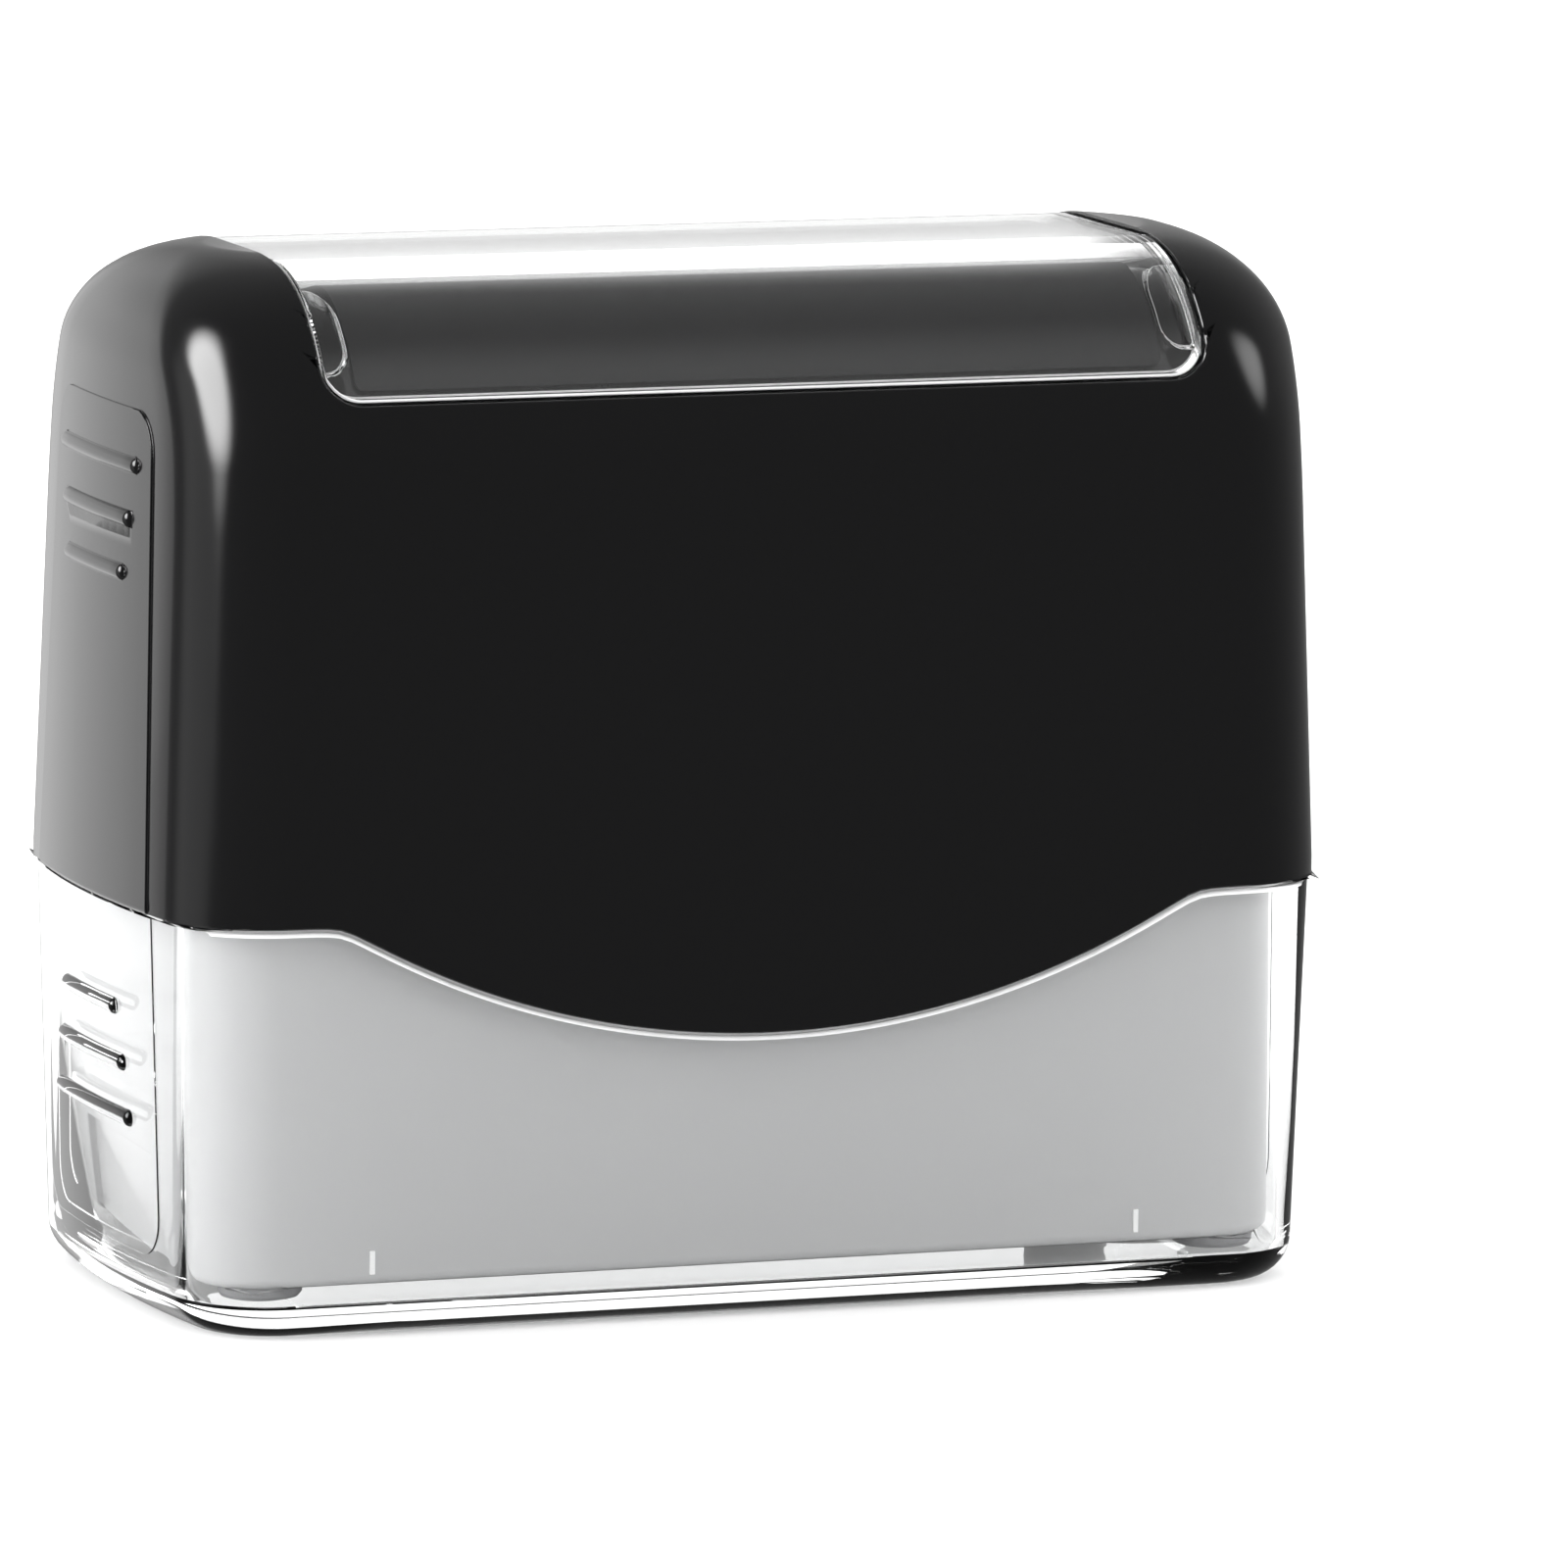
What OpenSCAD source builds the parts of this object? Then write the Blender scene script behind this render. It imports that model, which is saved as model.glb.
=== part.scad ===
// Pre-inked desk stamp: black handle, spring-loaded skirt, clear index window, clear dust cap.
// Frame: X along the imprint, Y across it (front is -Y), Z up, z = 0 under the cap.

/* [Handle] */
// Length of the handle at the parting line, without the end panels
body_length = 78; // [77.6:0.1:78.4]
// Depth of the handle at the parting line
body_depth = 39.2; // [39:0.2:40]
// Overall height with the cap on
body_height = 66.2; // [66:0.2:68]
// Height of the parting line at the narrow ends
parting_z = 25.9; // [25.5:0.1:26.5]
// Thickness of the handle side walls
shell_wall = 1.5; // [1.4:0.05:1.6]
// Inward lean of the handle sides per mm of height
shell_draft = 0.028; // [0.02:0.002:0.03]
// Inward lean of the handle ends per mm of height
end_draft = 0.035; // [0.03:0.001:0.037]
// Radius that bows the narrow ends outward in plan
end_bow_r = 104; // [100:1:110]
// Plan radius of the vertical corners
corner_r = 6.8; // [6.6:0.1:7]
// Radius that rounds the long top edges
top_r = 12.3; // [11.8:0.1:12.6]
// Radius of the short top edges
end_edge_r = 7; // [6.5:0.1:7.2]
// Depth of the curved apron below the parting line
belly_drop = 7.85; // [7:0.05:8.2]
// Half of the apron chord
belly_half = 28.2; // [27:0.1:29]

/* [Grip ribs and end panels] */
// Radius of one half-round grip rib
rib_r = 0.55; // [0.5:0.05:0.6]
// Half width of the raised end panel at the parting line
panel_half = 11.2; // [11:0.1:11.4]
// Height of the raised end panel over the end
panel_rise = 0.15; // [0.1:0.05:0.2]
// Narrowing of the handle panel per mm of height
panel_taper = 0.058; // [0.05:0.002:0.06]

/* [Index window] */
// Half length of the window opening
window_half = 29.2; // [28.8:0.1:29.4]
// Height of the lower window edge
window_z = 58; // [57.6:0.1:58.4]
// Thickness of the clear window
window_t = 1.5; // [1.4:0.05:1.6]

/* [Cap] */
// Step from the handle side in to the cap side
cap_step = 0.3; // [0.25:0.05:0.35]
// Inward lean of the cap sides per mm of depth
cap_draft = 0.02; // [0.016:0.002:0.022]
// Inward lean of the cap ends per mm of depth
cap_end_draft = 0.03; // [0.026:0.002:0.032]
// Height of the inside of the cap floor
cap_floor = 1.9; // [1.8:0.05:1.95]
// Radius round the bottom edge of the cap
cap_edge_r = 2.6; // [2.2:0.1:2.8]

/* [Skirt] */
// Length of the skirt
skirt_length = 71.8; // [71.4:0.1:71.9]
// Depth of the skirt
skirt_depth = 32.8; // [32.6:0.1:33]
// Height of the skirt lower edge with the cap on
skirt_z = 2.85; // [2.75:0.05:2.9]
// Height of the skirt top shelf
skirt_top = 38.05; // [38:0.05:38.1]
// Wall of the skirt
skirt_wall = 1.4; // [1.3:0.05:1.45]

/* [Imprint] */
// Length of the imprint
imprint_length = 60; // [58:0.5:60]
// Height of the imprint
imprint_width = 22; // [20:0.5:22]
// Depth of the die face inside the skirt at rest
die_recess = 4; // [3.5:0.1:4]

/* [Springs] */
// Wire diameter of a return spring
wire_d = 0.75; // [0.6:0.05:0.8]
// Outer diameter of a return spring
spring_od = 6.6; // [6.2:0.1:6.8]
// Number of turns in a return spring
spring_turns = 6; // [5:1:7]

/* [Hidden] */
$fn = 96;
// Margin that carries a cut past a face
over = 1;
span = 100;

// Handle form
half_x = body_length / 2;
half_y = body_depth / 2;
edge_z = body_height - end_edge_r;
// The top edge radius starts a little outside the leaning end, so that the two cross
edge_x = half_x - end_draft * (edge_z - parting_z) - end_edge_r + 0.15;
// The bowed ends run into the rounded corners at this distance from the middle
bow_half = half_y - corner_r + 0.2;
corner_x = half_x - pow(bow_half, 2) / (2 * end_bow_r) + 0.0125;
arc_z = body_height - top_r;
arc_y = half_y - shell_draft * (arc_z - parting_z) - top_r;
belly_r = (pow(belly_half, 2) + pow(belly_drop, 2)) / (2 * belly_drop);
belly_cz = parting_z - belly_drop + belly_r;

// Depths below the outer skin at the top of the handle
window_sink = 0.3;
window_fit = 0.15;
seat_inset = 2.4;
roof_inset = 3.9;
card_t = 0.35;
window_corner_r = 2.5;

// Window snap pads, one near each corner
pad_in = 26.9;
pad_low = 59.4;
pad_high = 63.6;
pocket_low = 58.3;
pocket_depth = 0.9;
card_half = pad_in - 0.3;

// Rim where cap and handle meet
rim_gap = 0.2;
lip_h = 2.2;
lip_fit = 0.15;
cap_half_x = half_x - cap_step;
cap_half_y = half_y - cap_step;
cap_wall_inset = 1.85;
lip_inset = 0.95;
lip_low = 14;
cap_recess_half_x = 29.9;
cap_recess_half_y = 15.4;
cap_recess_depth = 0.6;
cap_panel_low = 4.2;
shell_panel_high = 56.9;
panel_corner_r = 2.6;

// How far the straight ribs sink into the bowed panels
rib_sink = 0.1;
// Grip ribs: [height, half length]
shell_ribs = [[53.4, 7.2], [50, 6.2], [46.6, 5.4]];
cap_ribs = [[19.3, 4.9], [15.9, 6.1], [12.5, 7]];

// Skirt
skirt_half_x = skirt_length / 2;
skirt_half_y = skirt_depth / 2;
skirt_r = 4.6;
shelf_t = 1.4;
shelf_in = 25.2;
foot_x = 31.7;
foot_y = 13.4;
foot_r = 2.6;
foot_t = 0.85;
foot_boss_h = 1.3;
guide_in = 33.2;
guide_y = 2.5;
guide_t = 1;
tick_x = 25.4;
tick_w = 0.35;
tick_h = 1.5;
tick_t = 0.15;
notch_half = 8.8;
notch_top = 9.7;
notch_depth = 0.5;

// Ink cell and die, all fixed inside the handle
die_z = skirt_z + die_recess;
cell_z = 11;
gasket_z = 34.6;
lid_z = 35;
lid_top = skirt_top - shelf_t - 0.05;
cell_half_x = 31.8;
cell_half_y = 13.2;
cell_r = 2;
cell_wall = 1.4;
spreader_t = 2;
felt_gap = 0.1;
flange_z = 9.6;
flange_over = 1.3;
frame_z = 8.6;
frame_top = 13.5;
frame_fit = 0.1;
frame_wall = 1;
rail_half = 2.2;
rail_out = 34.2;
rail_z = 14;

// Fasteners, fillers and springs
join_z = 50;
screw_x = 8;
screw_d = 2.5;
screw_tip = 42;
screw_head_d = 5.2;
screw_head_h = 1.5;
screw_head_z = 62;
post_r = 3.3;
fill_x = 18;
fill_r = 4;
fill_bore = 3.6;
plug_d = 5;
plug_head_d = 7.6;
plug_head_z = 62.3;
plug_head_h = 1.1;
plug_low = 55;
boss_top = body_height - roof_inset + 0.5;
seat_top = body_height - roof_inset + 0.1;
fit = 0.1;
web_t = 1.6;
spring_x = 29;
spring_y = 7.5;
spring_seat_z = 52;
seat_r = 3.8;
pin_r = 1.9;
pin_h = 3;
helix_steps = 12;

black = "#1c1c1e";
silver = "#c9cacc";
clear = "#e8eef2a0";

// Rounded rectangle, given by its half sizes
module round_rect(hx, hy, r) {
    square([2 * hx, 2 * (hy - r)], center = true);
    square([2 * (hx - r), 2 * hy], center = true);
    for (x = [-1, 1], y = [-1, 1])
        translate([x * (hx - r), y * (hy - r)]) circle(r);
}

module prism(hx, hy, r, low, high) {
    translate([0, 0, low]) linear_extrude(high - low) round_rect(hx, hy, r);
}

// Stands a profile drawn in (x, z) up and runs it through the depth
module through_depth(half = span / 2) {
    translate([0, half, 0]) rotate([90, 0, 0]) linear_extrude(2 * half) children();
}

// Stands a profile drawn in (y, z) up and runs it along the length
module along_length(half = span / 2) {
    translate([-half, 0, 0]) rotate([90, 0, 90]) linear_extrude(2 * half) children();
}

module four(x, y) {
    for (sx = [-1, 1], sy = [-1, 1]) translate([sx * x, sy * y, 0]) children();
}

// One narrow end: a large cylinder that leans by lean per mm of height
module end_bow(side, inset, lean) {
    translate([side * (half_x - end_bow_r), 0, parting_z]) rotate([0, -side * atan(lean), 0])
        cylinder(r = end_bow_r - inset, h = 2 * span, center = true, $fn = 180);
}

// Block with rounded corners and bowed ends, drawn inward by inset
module bowed_block(inset, lean, low, high) {
    intersection() {
        union() {
            prism(corner_x - inset, half_y - inset, corner_r - inset, low, high);
            translate([0, 0, (low + high) / 2])
                cube([body_length + 2 * over, 2 * bow_half, high - low], center = true);
        }
        end_bow(1, inset, lean);
        end_bow(-1, inset, lean);
    }
}

// Front outline that rounds the short top edges, drawn inward by inset
module front_profile(inset) {
    low = parting_z - belly_drop - over;
    wide = half_x + over - inset;
    high = edge_x + end_edge_r - inset;
    polygon([[-wide, low], [wide, low], [wide, parting_z], [high, edge_z], [-high, edge_z],
        [-wide, parting_z]]);
    for (s = [-1, 1]) translate([s * edge_x, edge_z]) circle(end_edge_r - inset);
    translate([-edge_x, parting_z]) square([2 * edge_x, body_height - inset - parting_z]);
}

// Side outline of the handle, drawn inward by side_inset on the walls and top_inset over the top
module side_profile(side_inset, top_inset) {
    low = parting_z - belly_drop - over;
    low_y = half_y - side_inset;
    high_y = arc_y + top_r - side_inset;
    polygon([[-low_y, low], [low_y, low], [low_y, parting_z], [high_y, arc_z],
        [-high_y, arc_z], [-low_y, parting_z]]);
    crown_profile(top_inset);
}

// Rounded top of the side outline, inset from the outer skin
module crown_profile(inset) {
    intersection() {
        union() {
            for (s = [-1, 1]) translate([s * arc_y, arc_z]) circle(top_r - inset);
            translate([-arc_y, arc_z]) square([2 * arc_y, top_r - inset]);
        }
        translate([-half_y, arc_z]) square([body_depth, top_r]);
    }
}

// Everything above the apron edge, shifted by dz
module above_belly(dz) {
    translate([0, dz]) {
        translate([-half_x - over, parting_z]) square([body_length + 2 * over, body_height]);
        translate([0, belly_cz]) circle(belly_r, $fn = 360);
    }
}

// Everything below the apron edge, shifted by dz
module below_belly(dz) {
    difference() {
        translate([-half_x - over, -over]) square([body_length + 2 * over, parting_z + dz + over]);
        translate([0, dz + belly_cz]) circle(belly_r, $fn = 360);
    }
}

// Outline of an end panel on the handle, drawn in (y, z)
module shell_panel_outline() {
    top_half = panel_half - panel_taper * (shell_panel_high - parting_z);
    polygon([[-panel_half, parting_z], [panel_half, parting_z],
        [top_half, shell_panel_high - panel_corner_r], [-top_half, shell_panel_high - panel_corner_r]]);
    translate([0, shell_panel_high - panel_corner_r - over])
        round_rect(top_half, panel_corner_r + over, panel_corner_r);
}

// Outline of an end panel on the cap, drawn in (y, z)
module cap_panel_outline() {
    high = parting_z - rim_gap;
    translate([0, cap_panel_low + panel_corner_r + over])
        round_rect(panel_half, panel_corner_r + over, panel_corner_r);
    translate([-panel_half, cap_panel_low + panel_corner_r])
        square([2 * panel_half, high - cap_panel_low - panel_corner_r]);
}

// Both end panels: an outline run through the length, trimmed just outside the bowed ends
module end_panels(inset, lean) {
    intersection() {
        along_length() children();
        end_bow(1, inset - panel_rise, lean);
        end_bow(-1, inset - panel_rise, lean);
    }
}

module grip_ribs(ribs, x_at) {
    for (s = [-1, 1], r = ribs) translate([s * (x_at(r[0]) + panel_rise - rib_sink), 0, r[0]]) {
        rotate([90, 0, 0]) cylinder(r = rib_r, h = 2 * r[1], center = true, $fn = 32);
        for (e = [-1, 1]) translate([0, e * r[1], 0]) sphere(rib_r, $fn = 32);
    }
}

// Curved layer between two depths below the crown, inside the window outline
module crown_layer(outer, inner, half, low, r) {
    intersection() {
        along_length() difference() {
            crown_profile(outer);
            crown_profile(inner);
        }
        through_depth() window_outline(half, low, r);
    }
}

module window_outline(half, low, r) {
    translate([-half, low + r]) square([2 * half, body_height]);
    translate([-half + r, low]) square([2 * (half - r), body_height]);
    for (s = [-1, 1]) translate([s * (half - r), low + r]) circle(r);
}

function shell_x(z) = half_x - end_draft * (z - parting_z);

function cap_x(z) = cap_half_x - cap_end_draft * (parting_z - z);

module shell_skin() {
    intersection() {
        bowed_block(0, end_draft, parting_z - belly_drop - over, body_height + over);
        through_depth() front_profile(0);
        along_length() side_profile(0, 0);
        through_depth() above_belly(0);
    }
    end_panels(0, end_draft) shell_panel_outline();
}

module shell_cavity() {
    intersection() {
        bowed_block(shell_wall, end_draft, 0, body_height);
        through_depth() front_profile(shell_wall);
        along_length() side_profile(shell_wall, roof_inset);
    }
}

module handle_shell() {
    color(black) difference() {
        union() {
            difference() {
                shell_skin();
                shell_cavity();
                // Rebate that takes the lip of the cap
                intersection() {
                    bowed_block(lip_inset - lip_fit, end_draft, 0, body_height);
                    through_depth() below_belly(lip_h + 2 * rim_gap);
                }
            }
            grip_ribs(shell_ribs, function (z) shell_x(z));
            for (s = [-1, 1]) {
                translate([s * screw_x, 0, join_z]) cylinder(r = post_r, h = boss_top - join_z);
                translate([s * fill_x, 0, join_z]) cylinder(r = fill_r + 1, h = boss_top - join_z);
            }
            four(spring_x, spring_y) {
                translate([0, 0, spring_seat_z]) cylinder(r = seat_r, h = seat_top - spring_seat_z);
                translate([0, 0, spring_seat_z - pin_h]) cylinder(r = pin_r, h = pin_h + over);
            }
        }
        // Seat for the window and its pockets
        crown_layer(-over, seat_inset, window_half, window_z, window_corner_r);
        four((pad_in + window_half) / 2, 0)
            intersection() {
                along_length((window_half - pad_in) / 2) difference() {
                    crown_profile(seat_inset - over);
                    crown_profile(seat_inset + pocket_depth);
                }
                translate([0, 0, (pocket_low + pad_low) / 2])
                    cube([span, span, pad_low - pocket_low], center = true);
            }
        for (s = [-1, 1]) {
            translate([s * screw_x, 0, 0]) {
                cylinder(d = screw_d + 2 * fit, h = body_height);
                translate([0, 0, screw_head_z]) cylinder(d = screw_head_d + 2 * fit, h = top_r);
            }
            translate([s * fill_x, 0, 0]) {
                cylinder(d = plug_d + fit, h = body_height);
                translate([0, 0, plug_head_z]) cylinder(d = plug_head_d + 2 * fit, h = top_r);
            }
        }
    }
}

module index_window() {
    half = window_half - window_fit;
    color(clear) {
        crown_layer(window_sink, window_sink + window_t, half, window_z + window_fit, window_corner_r);
        // Snap pads near the corners
        for (s = [-1, 1]) intersection() {
            crown_layer(window_sink + window_t - fit, seat_inset - fit, half, pad_low, 0.5);
            translate([s * (pad_in + half) / 2, 0, (pad_low + pad_high) / 2])
                cube([half - pad_in, span, pad_high - pad_low], center = true);
        }
    }
}

module index_card() {
    color(black) crown_layer(seat_inset - card_t, seat_inset, card_half, window_z + 0.5, 0.5);
}

module ink_plug(s) {
    translate([s * fill_x, 0, 0]) {
        translate([0, 0, plug_low]) cylinder(d = plug_d, h = plug_head_z - plug_low);
        translate([0, 0, plug_head_z]) cylinder(d = plug_head_d, h = plug_head_h);
    }
}

module ink_plug_left() { color("dimgray") ink_plug(-1); }

module ink_plug_right() { color("dimgray") ink_plug(1); }

module shell_screws() {
    color("silver") for (s = [-1, 1]) translate([s * screw_x, 0, 0]) difference() {
        union() {
            translate([0, 0, screw_tip]) cylinder(d = screw_d, h = screw_head_z - screw_tip);
            translate([0, 0, screw_head_z]) cylinder(d = screw_head_d, h = screw_head_h);
        }
        // Cross recess
        for (a = [0, 90]) rotate(a) translate([0, 0, screw_head_z + screw_head_h])
            cube([2.8, 0.6, 2], center = true);
    }
}

module cell_lid() {
    color(black) difference() {
        union() {
            prism(cell_half_x, cell_half_y, cell_r, lid_z, lid_top);
            for (s = [-1, 1]) {
                translate([s * screw_x, 0, lid_z]) cylinder(r = post_r, h = join_z - lid_z);
                translate([s * fill_x, 0, lid_z]) cylinder(r = fill_r, h = join_z - lid_z);
            }
            translate([0, 0, (lid_top + join_z) / 2])
                cube([2 * fill_x, web_t, join_z - lid_top], center = true);
        }
        for (s = [-1, 1]) {
            translate([s * screw_x, 0, screw_tip - over])
                cylinder(d = screw_d + fit, h = join_z - screw_tip + 2 * over);
            translate([s * fill_x, 0, lid_z - over]) cylinder(d = fill_bore, h = join_z);
        }
    }
}

module lid_gasket() {
    color("dimgray") difference() {
        prism(cell_half_x, cell_half_y, cell_r, gasket_z, lid_z);
        prism(cell_half_x - cell_wall, cell_half_y - cell_wall, cell_r / 2, 0, span);
    }
}

module ink_cell() {
    color(black) {
        difference() {
            prism(cell_half_x, cell_half_y, cell_r, cell_z, gasket_z);
            prism(cell_half_x - cell_wall, cell_half_y - cell_wall, cell_r / 2, 0, span);
        }
        // Rails that run between the skirt guides
        for (s = [-1, 1]) translate([s * (rail_out + cell_half_x - 0.5) / 2, 0, (rail_z + gasket_z) / 2])
            cube([rail_out - cell_half_x + 0.5, 2 * rail_half, gasket_z - rail_z], center = true);
    }
}

module ink_reservoir() {
    inset = cell_wall + felt_gap;
    color("ivory") prism(cell_half_x - inset, cell_half_y - inset, cell_r / 2,
        cell_z + spreader_t, lid_z);
}

module spreader_felt() {
    inset = cell_wall + felt_gap;
    color("lightgray") prism(cell_half_x - inset, cell_half_y - inset, cell_r / 2,
        cell_z, cell_z + spreader_t);
}

module stamp_die() {
    color("#303034") {
        prism(imprint_length / 2, imprint_width / 2, 0.8, die_z, flange_z + 0.1);
        prism(imprint_length / 2 + flange_over, imprint_width / 2 + flange_over, 1.2, flange_z, cell_z);
    }
}

module die_frame() {
    color(black) difference() {
        prism(cell_half_x + frame_fit + frame_wall, cell_half_y + frame_fit + frame_wall,
            cell_r + frame_wall, frame_z, frame_top);
        prism(cell_half_x + frame_fit, cell_half_y + frame_fit, cell_r, flange_z, span);
        prism(imprint_length / 2 + 0.15, imprint_width / 2 + 0.15, 0.9, 0, span);
    }
}

// Coil of square-faced wire swept as one closed skin
module spring() {
    low = skirt_top + wire_d / 2;
    rise = spring_seat_z - skirt_top - wire_d;
    coil_r = (spring_od - wire_d) / 2;
    ring = 6;
    n = spring_turns * helix_steps;
    points = [for (i = [0:n], k = [0:ring - 1])
        let (a = 360 * i / helix_steps, r = coil_r + cos(360 * k / ring) * wire_d / 2)
        [r * cos(a), r * sin(a), low + rise * i / n + sin(360 * k / ring) * wire_d / 2]];
    sides = [for (i = [0:n - 1], k = [0:ring - 1])
        let (m = (k + 1) % ring)
        [i * ring + k, (i + 1) * ring + k, (i + 1) * ring + m, i * ring + m]];
    first = [for (k = [0:ring - 1]) k];
    last = [for (k = [ring - 1:-1:0]) n * ring + k];
    color("silver") polyhedron(points, concat(sides, [first, last]));
}

module spring_at(sx, sy) { translate([sx * spring_x, sy * spring_y, 0]) spring(); }

module spring_front_left() { spring_at(-1, -1); }

module spring_front_right() { spring_at(1, -1); }

module spring_back_left() { spring_at(-1, 1); }

module spring_back_right() { spring_at(1, 1); }

module skirt() {
    in_x = skirt_half_x - skirt_wall;
    in_y = skirt_half_y - skirt_wall;
    color(silver) difference() {
        union() {
            difference() {
                prism(skirt_half_x, skirt_half_y, skirt_r, skirt_z, skirt_top);
                prism(in_x, in_y, skirt_r - skirt_wall, skirt_z - over, skirt_top - shelf_t);
                translate([0, 0, skirt_top]) cube([2 * shelf_in, 2 * in_y, 4], center = true);
            }
            four(spring_x, spring_y)
                translate([0, 0, skirt_top - over]) cylinder(r = pin_r, h = pin_h + over);
            // Bosses that carry the rubber feet
            intersection() {
                four(foot_x, foot_y)
                    translate([0, 0, skirt_z]) cylinder(r = foot_r + 0.1, h = foot_boss_h);
                prism(skirt_half_x, skirt_half_y, skirt_r, 0, span);
            }
            // Guides on either side of the cell rails
            four((guide_in + in_x + 0.5) / 2, guide_y + guide_t / 2)
                translate([0, 0, (rail_z + skirt_top - shelf_t) / 2])
                cube([in_x + 0.5 - guide_in, guide_t, skirt_top - shelf_t - rail_z + 0.2], center = true);
            // Alignment marks
            four(tick_x, skirt_half_y) translate([0, 0, skirt_z + tick_h / 2 + 0.1])
                cube([tick_w, 2 * tick_t, tick_h], center = true);
        }
        for (s = [-1, 1]) translate([s * skirt_half_x, 0, 0])
            cube([2 * notch_depth, 2 * notch_half, 2 * notch_top], center = true);
    }
}

module skirt_feet() {
    color("dimgray") four(foot_x, foot_y)
        translate([0, 0, skirt_z - foot_t]) cylinder(r = foot_r, h = foot_t);
}

// Upright outline of the cap with its rounded lower edge
module cap_profile(half, lean) {
    low = half - lean * (parting_z - cap_edge_r);
    polygon([[-low, cap_edge_r], [low, cap_edge_r], [half, parting_z], [-half, parting_z]]);
    for (s = [-1, 1]) translate([s * (low - cap_edge_r), cap_edge_r]) circle(cap_edge_r);
    translate([-low + cap_edge_r, 0]) square([2 * (low - cap_edge_r), cap_edge_r + over]);
}

module dust_cap() {
    color(clear) difference() {
        union() {
            intersection() {
                bowed_block(cap_step, -cap_end_draft, 0, parting_z);
                through_depth() cap_profile(cap_half_x + 0.1, cap_end_draft);
                along_length() cap_profile(cap_half_y, cap_draft);
                through_depth() below_belly(-rim_gap);
            }
            end_panels(cap_step, -cap_end_draft) cap_panel_outline();
            // Lip that enters the handle
            intersection() {
                bowed_block(lip_inset, 0, lip_low, parting_z + lip_h + over);
                through_depth() below_belly(lip_h - rim_gap);
            }
            grip_ribs(cap_ribs, function (z) cap_x(z));
        }
        bowed_block(cap_wall_inset, 0, cap_floor, span);
        // Shallow recess under the floor
        prism(cap_recess_half_x, cap_recess_half_y, 1, -over, cap_recess_depth);
    }
}

handle_shell();
index_window();
index_card();
ink_plug_left();
ink_plug_right();
shell_screws();
ink_cell();
cell_lid();
lid_gasket();
ink_reservoir();
spreader_felt();
stamp_die();
die_frame();
spring_front_left();
spring_front_right();
spring_back_left();
spring_back_right();
skirt();
skirt_feet();
dust_cap();
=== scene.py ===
"""Looks of the pre-inked stamp: moulded shells, clear cap and window, studio light and camera."""
import math

import bmesh
import bpy
from mathutils import Matrix, Vector


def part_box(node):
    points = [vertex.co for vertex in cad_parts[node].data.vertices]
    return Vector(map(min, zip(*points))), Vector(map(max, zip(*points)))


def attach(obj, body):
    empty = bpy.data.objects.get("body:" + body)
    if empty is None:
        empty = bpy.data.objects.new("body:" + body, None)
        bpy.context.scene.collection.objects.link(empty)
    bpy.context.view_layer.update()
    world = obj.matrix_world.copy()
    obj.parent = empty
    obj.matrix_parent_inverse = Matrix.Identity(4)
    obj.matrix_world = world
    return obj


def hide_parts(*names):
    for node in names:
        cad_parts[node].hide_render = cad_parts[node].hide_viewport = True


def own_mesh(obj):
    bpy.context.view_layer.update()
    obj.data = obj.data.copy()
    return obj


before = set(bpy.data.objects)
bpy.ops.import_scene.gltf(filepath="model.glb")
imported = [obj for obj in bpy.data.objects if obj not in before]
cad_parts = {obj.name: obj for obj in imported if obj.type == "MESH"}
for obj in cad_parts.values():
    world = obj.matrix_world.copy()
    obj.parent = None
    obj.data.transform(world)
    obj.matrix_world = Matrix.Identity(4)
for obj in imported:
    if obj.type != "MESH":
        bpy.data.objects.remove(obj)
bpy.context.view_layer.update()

MM = 0.001
QUARTER = math.pi / 2

# ---------------------------------------------------------------- sizes, in millimetres
shell_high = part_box("handle_shell")[1] / MM
HALF_X, HALF_Y, TOP_Z = 39.0, shell_high.y, shell_high.z

# Handle form, as in the CAD model
PARTING_Z = 25.9
BELLY_DROP = 7.85
BELLY_HALF = 28.2
SHELL_DRAFT, END_DRAFT = 0.028, 0.035
SHELL_WALL = 1.5
CORNER_R = 6.8
# The plan radius of the corners grows by this much over this stretch of the height
CORNER_GROW, CORNER_GROW_LOW, CORNER_GROW_SPAN = 1.2, 50.0, 12.0
LEAST_CORNER_R = 1.0
END_R = 104.0
TOP_R = 12.3
EDGE_R = 7.0
EDGE_Z = TOP_Z - EDGE_R
LEAN = math.hypot(1.0, END_DRAFT)
EDGE_X = HALF_X - END_DRAFT * (EDGE_Z - PARTING_Z) - EDGE_R * LEAN
EDGE_START = EDGE_Z + EDGE_R * END_DRAFT / LEAN
ARC_Z = TOP_Z - TOP_R
ARC_Y = HALF_Y - SHELL_DRAFT * (ARC_Z - PARTING_Z) - TOP_R
BELLY_R = (BELLY_HALF ** 2 + BELLY_DROP ** 2) / (2 * BELLY_DROP)
BELLY_CZ = PARTING_Z - BELLY_DROP + BELLY_R
# Size of the blend where the apron arc meets the straight edge
KINK_BLEND = 0.256
ROOF_INSET = 3.9
WALL_LEVELS = (32.0, 38.0, 43.0, 47.0, 50.0, 52.0)
# The first level over the parting line leaves room for the rounded edge
FIRST_LEVEL = PARTING_Z + 1.2

# Window and its seat
SEAT_INSET = 2.4
WINDOW_HALF = 29.2
WINDOW_Z = 58.0
WINDOW_CORNER_R = 2.5
WINDOW_SINK = 0.3
WINDOW_T = 1.5
WINDOW_FIT = 0.15
PAD_IN, PAD_LOW, PAD_HIGH = 26.9, 59.4, 63.6
PAD_T = 0.5
POCKET_LOW, POCKET_DEPTH, POCKET_IN, POCKET_OUT = 58.3, 0.9, 27.2, 29.0
CARD_T = 0.35

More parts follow.
